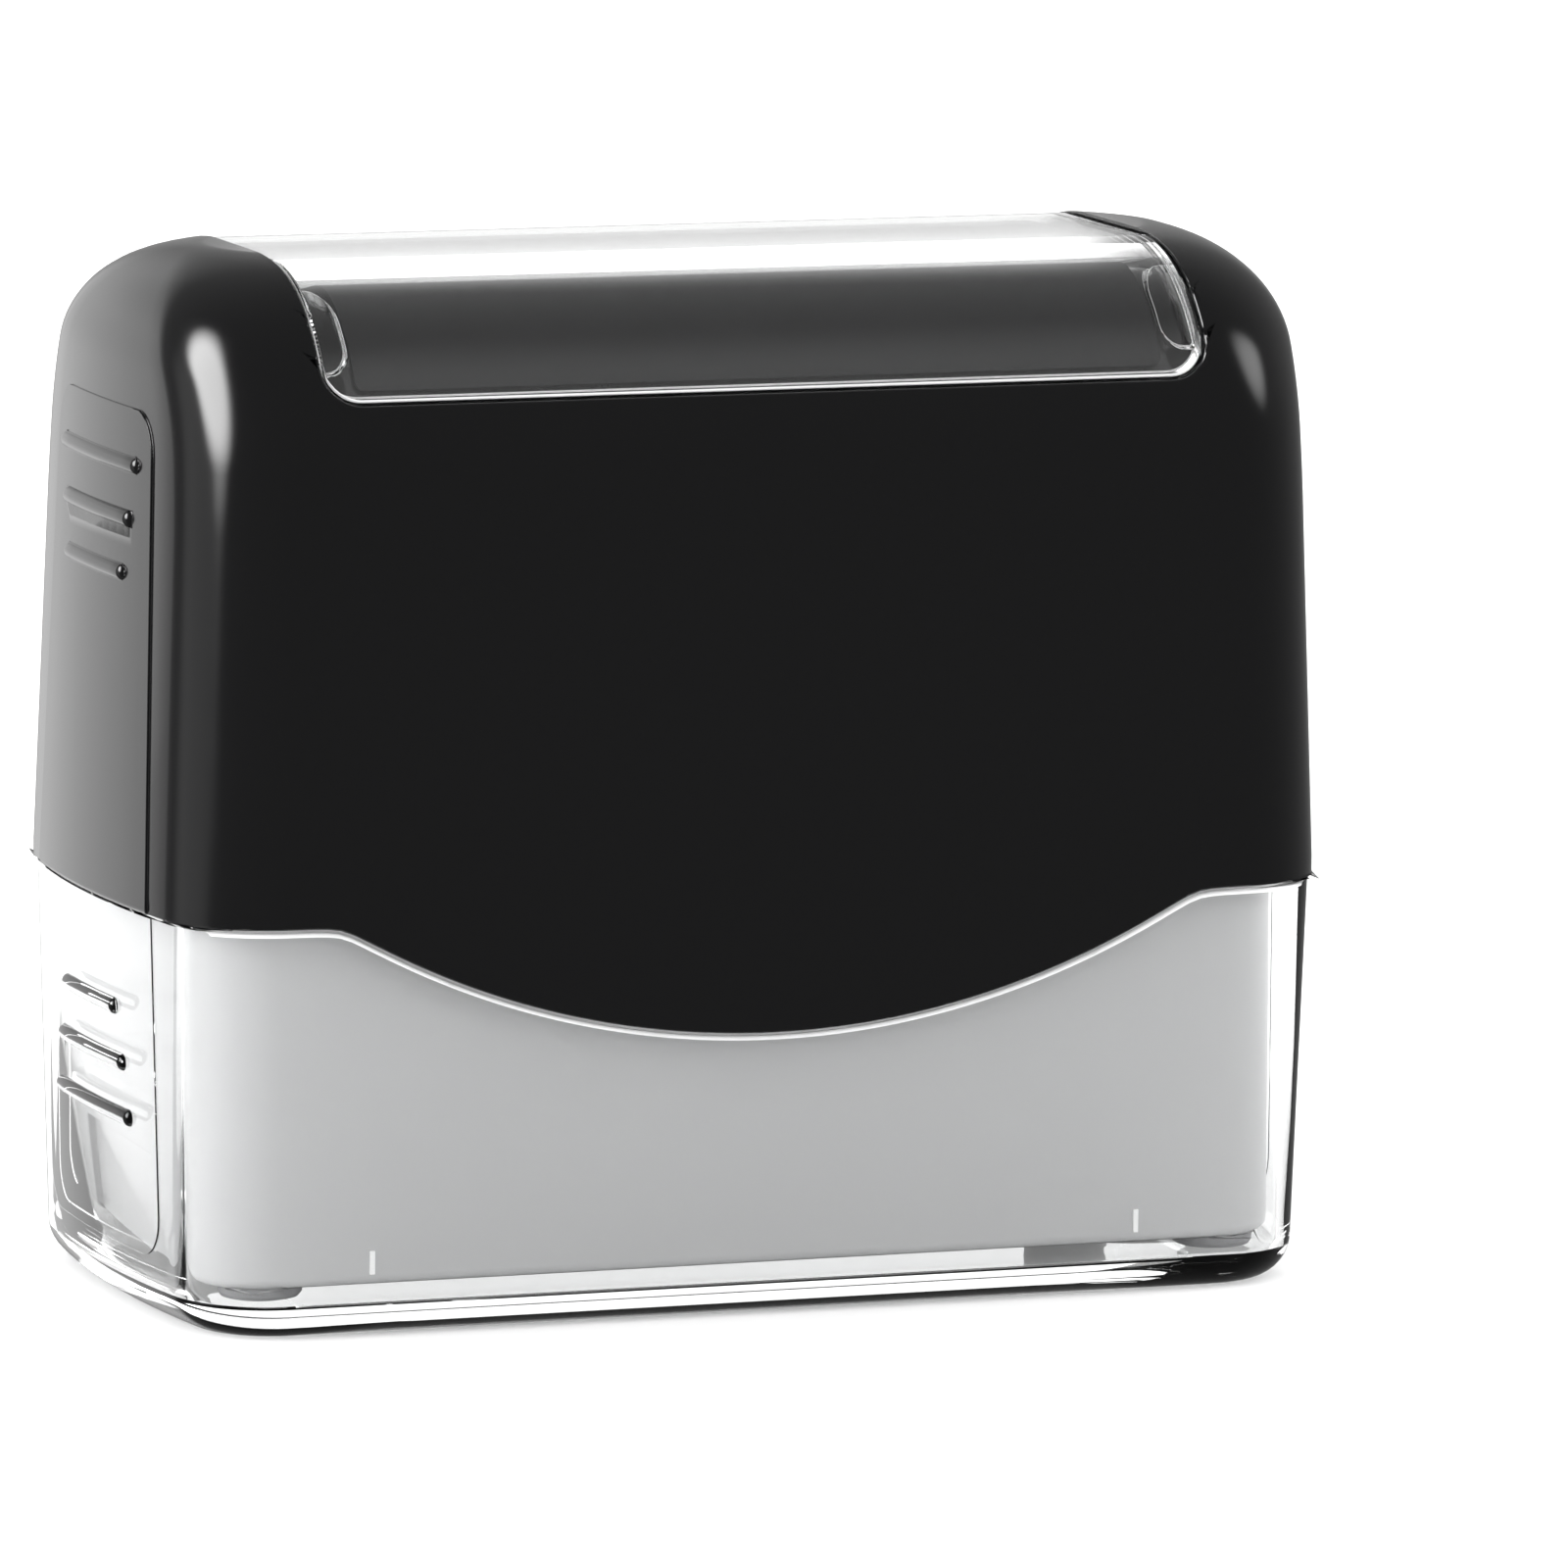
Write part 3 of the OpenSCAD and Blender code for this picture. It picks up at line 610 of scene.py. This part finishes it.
def make_screw(name, x):
    """Screw with ring threads, a domed head and a cross recess."""
    top = SCREW_HEAD_Z + SCREW_HEAD_H
    profile = [(SCREW_POINT_R, SCREW_TIP), (SCREW_R * 0.7, SCREW_TIP + SCREW_POINT_H)]
    z = SCREW_TIP + THREAD_START
    while z < SCREW_HEAD_Z - SCREW_NECK_H:
        profile += [(THREAD_ROOT_R, z), (SCREW_R, z + THREAD_HALF), (THREAD_ROOT_R, z + 2 * THREAD_HALF)]
        z += THREAD_PITCH
    profile += [(SCREW_R, z + 0.4), (SCREW_R, SCREW_HEAD_Z), (SCREW_HEAD_R, SCREW_HEAD_Z)]
    profile += [(SCREW_HEAD_R * math.cos(t), SCREW_HEAD_Z + 0.5 + (SCREW_HEAD_H - 0.5) * math.sin(t))
                for t in (QUARTER * i / 8 for i in range(8))] + [(0.15, top)]
    screw = turned(name, x, 0, profile, 40)
    for half_x, half_y in ((CROSS_LONG, CROSS_THIN), (CROSS_THIN, CROSS_LONG)):
        combine(screw, box_solid("slot", (x - half_x, -half_y, top - CROSS_DEPTH),
                                 (x + half_x, half_y, top + 1)))
    return smooth(screw)


def make_plug(name, x):
    """Rubber stopper with a groove round its stem and a dimple in its head."""
    top = PLUG_HEAD_Z + PLUG_HEAD_H
    return smooth(turned(name, x, 0, [
        (PLUG_R - 0.5, PLUG_LOW), (PLUG_R - 0.1, PLUG_LOW + 0.8), (PLUG_R, GROOVE_Z - GROOVE_HALF),
        (PLUG_R - GROOVE_DEPTH, GROOVE_Z), (PLUG_R, GROOVE_Z + GROOVE_HALF), (PLUG_R, PLUG_HEAD_Z),
        (PLUG_HEAD_R, PLUG_HEAD_Z), (PLUG_HEAD_R, top - 0.3), (PLUG_HEAD_R - 0.3, top), (DIMPLE_R, top),
        (DIMPLE_R - 0.3, top - DIMPLE_DEPTH), (0.2, top - DIMPLE_DEPTH)], 44))


def make_die():
    """Die with a raised frame and raised wavy lines on its face, over a sunken ground."""
    def slab(name, grow, r, low, high):
        return lofted(name, [at_height(round_loop(DIE_X + grow, DIE_Y + grow, r), z) for z in (low, high)])
    die = slab("stamp_die_foam", 0.0, DIE_R, DIE_Z, DIE_FLANGE_Z + 0.1)
    combine(die, slab("flange", DIE_FLANGE, DIE_FLANGE_R, DIE_FLANGE_Z, DIE_TOP), "UNION")
    combine(die, slab("ground", -DIE_BORDER, DIE_GROUND_R, DIE_Z - 1, DIE_Z + DIE_RELIEF))
    root = DIE_Z + DIE_RELIEF + 0.3
    for shift, height, waves in DIE_LINES:
        line = []
        for i in range(LINE_STEPS + 1):
            x = -LINE_HALF + 2 * LINE_HALF * i / LINE_STEPS
            y = shift + height * math.sin(2 * math.pi * waves * i / LINE_STEPS)
            w = 0.55 + 0.3 * math.sin(x * 0.6)
            line.append([(x, y - w, DIE_Z), (x, y + w, DIE_Z), (x, y + w, root), (x, y - w, root)])
        combine(die, lofted("line", line), "UNION")
    return smooth(die, lambda p: DIE_EDGE, segments=2)


# ---------------------------------------------------------------- materials
GRAIN_DETAIL, GRAIN_HEIGHT = 4.0, 0.02


def principled(name, color, roughness, **inputs):
    """Material with one Principled shader; inputs are its socket names with _ for a space."""
    material = bpy.data.materials.new(name)
    material.use_nodes = True
    sockets = material.node_tree.nodes["Principled BSDF"].inputs
    sockets["Base Color"].default_value = (*color, 1)
    sockets["Roughness"].default_value = roughness
    for key, value in inputs.items():
        sockets[key.replace("_", " ")].default_value = value
    return material


def add_grain(material, scale, strength, smoothest, roughest):
    """Fine noise that bumps the surface and varies its roughness."""
    tree = material.node_tree
    sockets = tree.nodes["Principled BSDF"].inputs
    coords = tree.nodes.new("ShaderNodeTexCoord")
    noise = tree.nodes.new("ShaderNodeTexNoise")
    noise.inputs["Scale"].default_value = scale
    noise.inputs["Detail"].default_value = GRAIN_DETAIL
    tree.links.new(coords.outputs["Object"], noise.inputs["Vector"])
    bump = tree.nodes.new("ShaderNodeBump")
    bump.inputs["Strength"].default_value = strength
    bump.inputs["Distance"].default_value = GRAIN_HEIGHT * MM
    tree.links.new(noise.outputs["Fac"], bump.inputs["Height"])
    tree.links.new(bump.outputs["Normal"], sockets["Normal"])
    spread = tree.nodes.new("ShaderNodeMapRange")
    spread.inputs["To Min"].default_value = smoothest
    spread.inputs["To Max"].default_value = roughest
    tree.links.new(noise.outputs["Fac"], spread.inputs["Value"])
    tree.links.new(spread.outputs["Result"], sockets["Roughness"])


def gloss_black():
    material = principled("gloss_black", (0.0028, 0.0028, 0.003), 0.14, Specular_IOR_Level=0.35)
    add_grain(material, 180.0, 0.02, 0.12, 0.16)
    return material


def clear_plastic(name, ior):
    return principled(name, (0.985, 0.99, 0.99), 0.01, Transmission_Weight=1.0, IOR=ior)


def satin(name, color, roughness, scale=900.0, strength=0.25, **inputs):
    material = principled(name, color, roughness, **inputs)
    add_grain(material, scale, strength, roughness * 0.85, roughness * 1.15)
    return material


def repaint_node(name, material):
    for material_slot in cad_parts[name].material_slots:
        material_slot.material = material


black = gloss_black()
cell_black = satin("cell_black", (0.012, 0.012, 0.013), 0.35)
silver = satin("skirt_silver", (0.43, 0.43, 0.435), 0.34)
mark = satin("mark_white", (0.85, 0.85, 0.85), 0.5)
rubber = satin("rubber_grey", (0.2, 0.2, 0.205), 0.6)
card_black = satin("card_black", (0.008, 0.008, 0.0085), 0.5, Specular_IOR_Level=0.2)
felt = satin("felt", (0.08, 0.08, 0.1), 0.95, 400.0, 0.8)
foam = satin("die_foam", (0.03, 0.03, 0.04), 0.7, 1500.0, 0.6)
steel = satin("spring_steel", (0.62, 0.62, 0.63), 0.28, 600.0, 0.1, Metallic=1.0)
# The photo shows hardly any bending of light in the cap, so its index is lower than the window's
clear_cap = clear_plastic("clear_cap", 1.3)
clear_window = clear_plastic("clear_window", 1.49)
# Whitish, partly clear material for the rounded edges of the cap and window: a painted highlight
painted_edge_highlight = principled("painted_edge_highlight", (0.95, 0.95, 0.95), 0.3, IOR=1.38, Transmission_Weight=0.35)


# ---------------------------------------------------------------- pieces
def place(obj, body, material, slot, *nodes):
    """Paints a finished piece, hangs it on its body and lets it stand for its CAD nodes."""
    obj.data.materials.clear()
    obj.data.materials.append(material)
    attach(obj, body)
    if nodes:
        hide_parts(*nodes)
    return obj


place(make_handle(), "handle", black, "handle_black", "handle_shell")
window = place(make_window(), "window", clear_window, "clear_window", "index_window")
# The window's rounded edges get the painted highlight material
window.data.materials.append(painted_edge_highlight)
place(make_card(), "handle", card_black, "card_black", "index_card")
cap = place(make_cap(), "cap", clear_cap, "clear_cap", "dust_cap")
# The cap's rounded rim gets the painted highlight material
cap.data.materials.append(painted_edge_highlight)
place(make_skirt(), "skirt", silver, "skirt_silver", "skirt")
place(make_ticks(), "skirt", mark, "skirt_silver")
corners = [(sx, sy) for sy in (-1, 1) for sx in (-1, 1)]
for index, (sx, sy) in enumerate(corners):
    foot = make_foot(index, sx * FOOT_X, sy * FOOT_Y)
    place(foot, "skirt", rubber, "foot_rubber", *(["skirt_feet"] if index == 0 else []))
place(make_die(), "handle", foam, "die_foam", "stamp_die")
for sx, sy in corners:
    name = f"spring_{'front' if sy < 0 else 'back'}_{'left' if sx < 0 else 'right'}"
    spring = place(make_spring(name + "_coil", sx * SPRING_X, sy * SPRING_Y), "handle", steel,
                   "spring_steel", name)
    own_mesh(spring)
for side, name in ((-1, "left"), (1, "right")):
    place(make_screw("shell_screw_" + name, side * SCREW_X), "handle", steel, "screw_steel",
          *(["shell_screws"] if side < 0 else []))
    place(make_plug("ink_plug_" + name + "_rubber", side * PLUG_X), "handle", rubber, "plug_rubber",
          "ink_plug_" + name)

for name in ("die_frame", "ink_cell", "cell_lid"):
    repaint_node(name, cell_black)
repaint_node("lid_gasket", rubber)
for name in ("ink_reservoir", "spreader_felt"):
    repaint_node(name, felt)

# ---------------------------------------------------------------- stage
FLOOR_HALF = 4.0
floor_bm = bmesh.new()
bmesh.ops.create_grid(floor_bm, x_segments=8, y_segments=8, size=FLOOR_HALF)
floor = new_object("floor", floor_bm)
floor.data.materials.append(principled("floor_paper", (0.7, 0.7, 0.7), 0.9, Specular_IOR_Level=0.0,
                                       Emission_Color=(1, 1, 1, 1), Emission_Strength=0.2))
floor.visible_glossy = False


def toward(azimuth, elevation):
    """Unit vector towards a place in the room; azimuth 0 is in front of the stamp, 90 on its right."""
    a, e = math.radians(azimuth), math.radians(elevation)
    return Vector((math.sin(a) * math.cos(e), -math.cos(a) * math.cos(e), math.sin(e)))


# Two rooms light the stamp: an even one, and a dark one with soft patches for what gloss mirrors
class Room:
    """Node builder for the light of a room, by direction, over a base that is the same all round."""

    def __init__(self, tree, base):
        self.tree = tree
        self.total = base
        coords = tree.nodes.new("ShaderNodeTexCoord")
        self.direction = coords.outputs["Generated"]
        split = tree.nodes.new("ShaderNodeSeparateXYZ")
        tree.links.new(self.direction, split.inputs["Vector"])
        self.sideways, self.backward, self.height = (split.outputs[axis] for axis in "XYZ")

    def math(self, operation, *values):
        """Socket with the result of a math operation on sockets and numbers."""
        node = self.tree.nodes.new("ShaderNodeMath")
        node.operation = operation
        for socket, value in zip(node.inputs, values):
            if isinstance(value, (int, float)):
                socket.default_value = value
            else:
                self.tree.links.new(value, socket)
        return node.outputs["Value"]

    def along(self, vector):
        """How far the direction points along a vector."""
        node = self.tree.nodes.new("ShaderNodeVectorMath")
        node.operation = "DOT_PRODUCT"
        self.tree.links.new(self.direction, node.inputs[0])
        node.inputs[1].default_value = vector
        return node.outputs["Value"]

    def fade(self, value, start, end, low, high):
        """Smooth step of value from low at start to high at end."""
        node = self.tree.nodes.new("ShaderNodeMapRange")
        node.interpolation_type = "SMOOTHSTEP"
        self.tree.links.new(value, node.inputs["Value"])
        flip = start > end
        node.inputs["From Min"].default_value = end if flip else start
        node.inputs["From Max"].default_value = start if flip else end
        node.inputs["To Min"].default_value = high if flip else low
        node.inputs["To Max"].default_value = low if flip else high
        return node.outputs["Result"]

    def add(self, value):
        self.total = self.math("ADD", self.total, value)

    def ellipse(self, azimuth, elevation, long_half, short_half, slant, radiance, core=0.2):
        """Soft elliptical patch; half sizes in degrees, slant turns the long axis off upright."""
        centre = toward(azimuth, elevation)
        side = Vector((centre.y, -centre.x, 0)).normalized()
        rise = side.cross(centre)
        turn = math.radians(slant)
        long_axis = rise * math.cos(turn) + side * math.sin(turn)
        short_axis = side * math.cos(turn) - rise * math.sin(turn)
        squares = []
        for axis, half in ((long_axis, long_half), (short_axis, short_half)):
            scaled = self.math("DIVIDE", self.along(axis), math.sin(math.radians(half)))
            squares.append(self.math("POWER", scaled, 2.0))
        distance = self.math("ADD", *squares)
        patch = self.fade(distance, core, 1.0, radiance, 0.0)
        front = self.math("GREATER_THAN", self.along(centre), 0.0)
        self.add(self.math("MULTIPLY", patch, front))


EVEN_LIGHT, DARK_ROOM = 1.6, 0.3
# Sideways part of every direction in which the camera sees the window mirror
STRIP_X = 0.332
world = bpy.data.worlds.new("studio")
bpy.context.scene.world = world
world.use_nodes = True
even = world.node_tree.nodes["Background"]
even.inputs["Color"].default_value = (1, 1, 1, 1)

# Even light all round, and a brighter patch on either side
lit = Room(world.node_tree, EVEN_LIGHT)
lit.ellipse(-95, 5, long_half=44, short_half=44, slant=0, radiance=6.0)
lit.ellipse(108, 5, long_half=38, short_half=38, slant=0, radiance=4.5)
rays = lit.tree.nodes.new("ShaderNodeLightPath")
# Light that comes from above through the clear parts, near the plane of the strip, is dimmer
veil = lit.math("MULTIPLY", rays.outputs["Is Transmission Ray"],
                lit.fade(lit.height, 0.25, 0.65, 0.0, 0.8))
off_strip = lit.math("ABSOLUTE", lit.math("SUBTRACT", lit.sideways, STRIP_X))
veil = lit.math("MULTIPLY", veil, lit.fade(off_strip, 0.1, 0.25, 1.0, 0.0))
veil = lit.math("MULTIPLY", veil, lit.fade(lit.backward, -0.6, -0.1, 0.4, 1.0))
lit.total = lit.math("MULTIPLY", lit.total, lit.math("SUBTRACT", 1.0, veil))
lit.tree.links.new(lit.total, even.inputs["Strength"])

room = Room(world.node_tree, DARK_ROOM)
# Bright low wall straight behind the stamp, dim above and on the right
wall = room.fade(room.backward, 0.77, 0.88, 0.0, 1.0)
wall = room.math("MULTIPLY", wall, room.fade(room.sideways, -0.1, 0.25, 1.0, 0.12))
room.add(room.math("MULTIPLY", wall, room.fade(room.height, 0.12, 0.55, 1.5, 0.3)))
# Dim light on the left end, and the highlights on the left and right top corners
room.ellipse(-102, 0, long_half=70, short_half=30, slant=0, radiance=0.9, core=0.05)
room.ellipse(-91, 30, long_half=38, short_half=20, slant=35, radiance=26.0, core=0.3)
room.ellipse(68, 28, long_half=20, short_half=14, slant=0, radiance=6.5, core=0.0)
# Tall strip behind the stamp that draws the white band along the window
strip_side = room.math("ABSOLUTE", room.math("SUBTRACT", room.sideways, STRIP_X))
strip = room.fade(strip_side, 0.026, 0.034, 1.0, 0.0)
# It grows brighter with height, as the window mirrors less there
band = room.math("ADD", 1.5, room.fade(room.height, 0.14, 0.72, 0.0, 8.0))
band = room.math("MULTIPLY", band, room.fade(room.height, 0.715, 0.735, 1.0, 0.0))
band = room.math("ADD", band, room.fade(room.height, 0.72, 0.90, 2.6, 0.0))
band = room.math("MULTIPLY", band, room.fade(room.backward, -0.1, 0.1, 0.0, 1.0))
# The flat top of the window mirrors the dim foot of the strip
band = room.math("MULTIPLY", band, room.fade(room.height, 0.09, 0.2, 0.06, 1.0))
room.add(room.math("MULTIPLY", strip, band))

mirrored = room.tree.nodes.new("ShaderNodeBackground")
room.tree.links.new(room.total, mirrored.inputs["Strength"])
direct = room.math("MULTIPLY", rays.outputs["Is Glossy Ray"],
                   room.math("SUBTRACT", 1.0, rays.outputs["Is Transmission Ray"]))
mix = room.tree.nodes.new("ShaderNodeMixShader")
room.tree.links.new(direct, mix.inputs["Fac"])
room.tree.links.new(even.outputs["Background"], mix.inputs[1])
room.tree.links.new(mirrored.outputs["Background"], mix.inputs[2])
room.tree.links.new(mix.outputs["Shader"], room.tree.nodes["World Output"].inputs["Surface"])

# ---------------------------------------------------------------- camera
bpy.context.scene.view_settings.view_transform = "Standard"
VIEW_AZIMUTH, VIEW_ELEVATION, VIEW_ROLL = -19.61, 7.87, 0.51
VIEW_DISTANCE = 0.88165
VIEW_LENS, SENSOR_WIDTH = 319.4, 36.0
AIM = Vector((0, 0, 0.03893))
# How far the camera turns away from AIM, in degrees right and down
PAN, TILT = 0.46, -0.508

camera_data = bpy.data.cameras.new("camera")
camera = bpy.data.objects.new("camera", camera_data)
bpy.context.scene.collection.objects.link(camera)
camera_data.lens = VIEW_LENS
camera_data.sensor_width = SENSOR_WIDTH
back = toward(VIEW_AZIMUTH, VIEW_ELEVATION)
look = (-back).to_track_quat("-Z", "Y").to_matrix().to_4x4()
turn = (Matrix.Rotation(math.radians(-PAN), 4, "Y") @ Matrix.Rotation(math.radians(TILT), 4, "X")
        @ Matrix.Rotation(math.radians(VIEW_ROLL), 4, "Z"))
camera.matrix_world = Matrix.Translation(AIM + back * VIEW_DISTANCE) @ look @ turn
bpy.context.scene.camera = camera
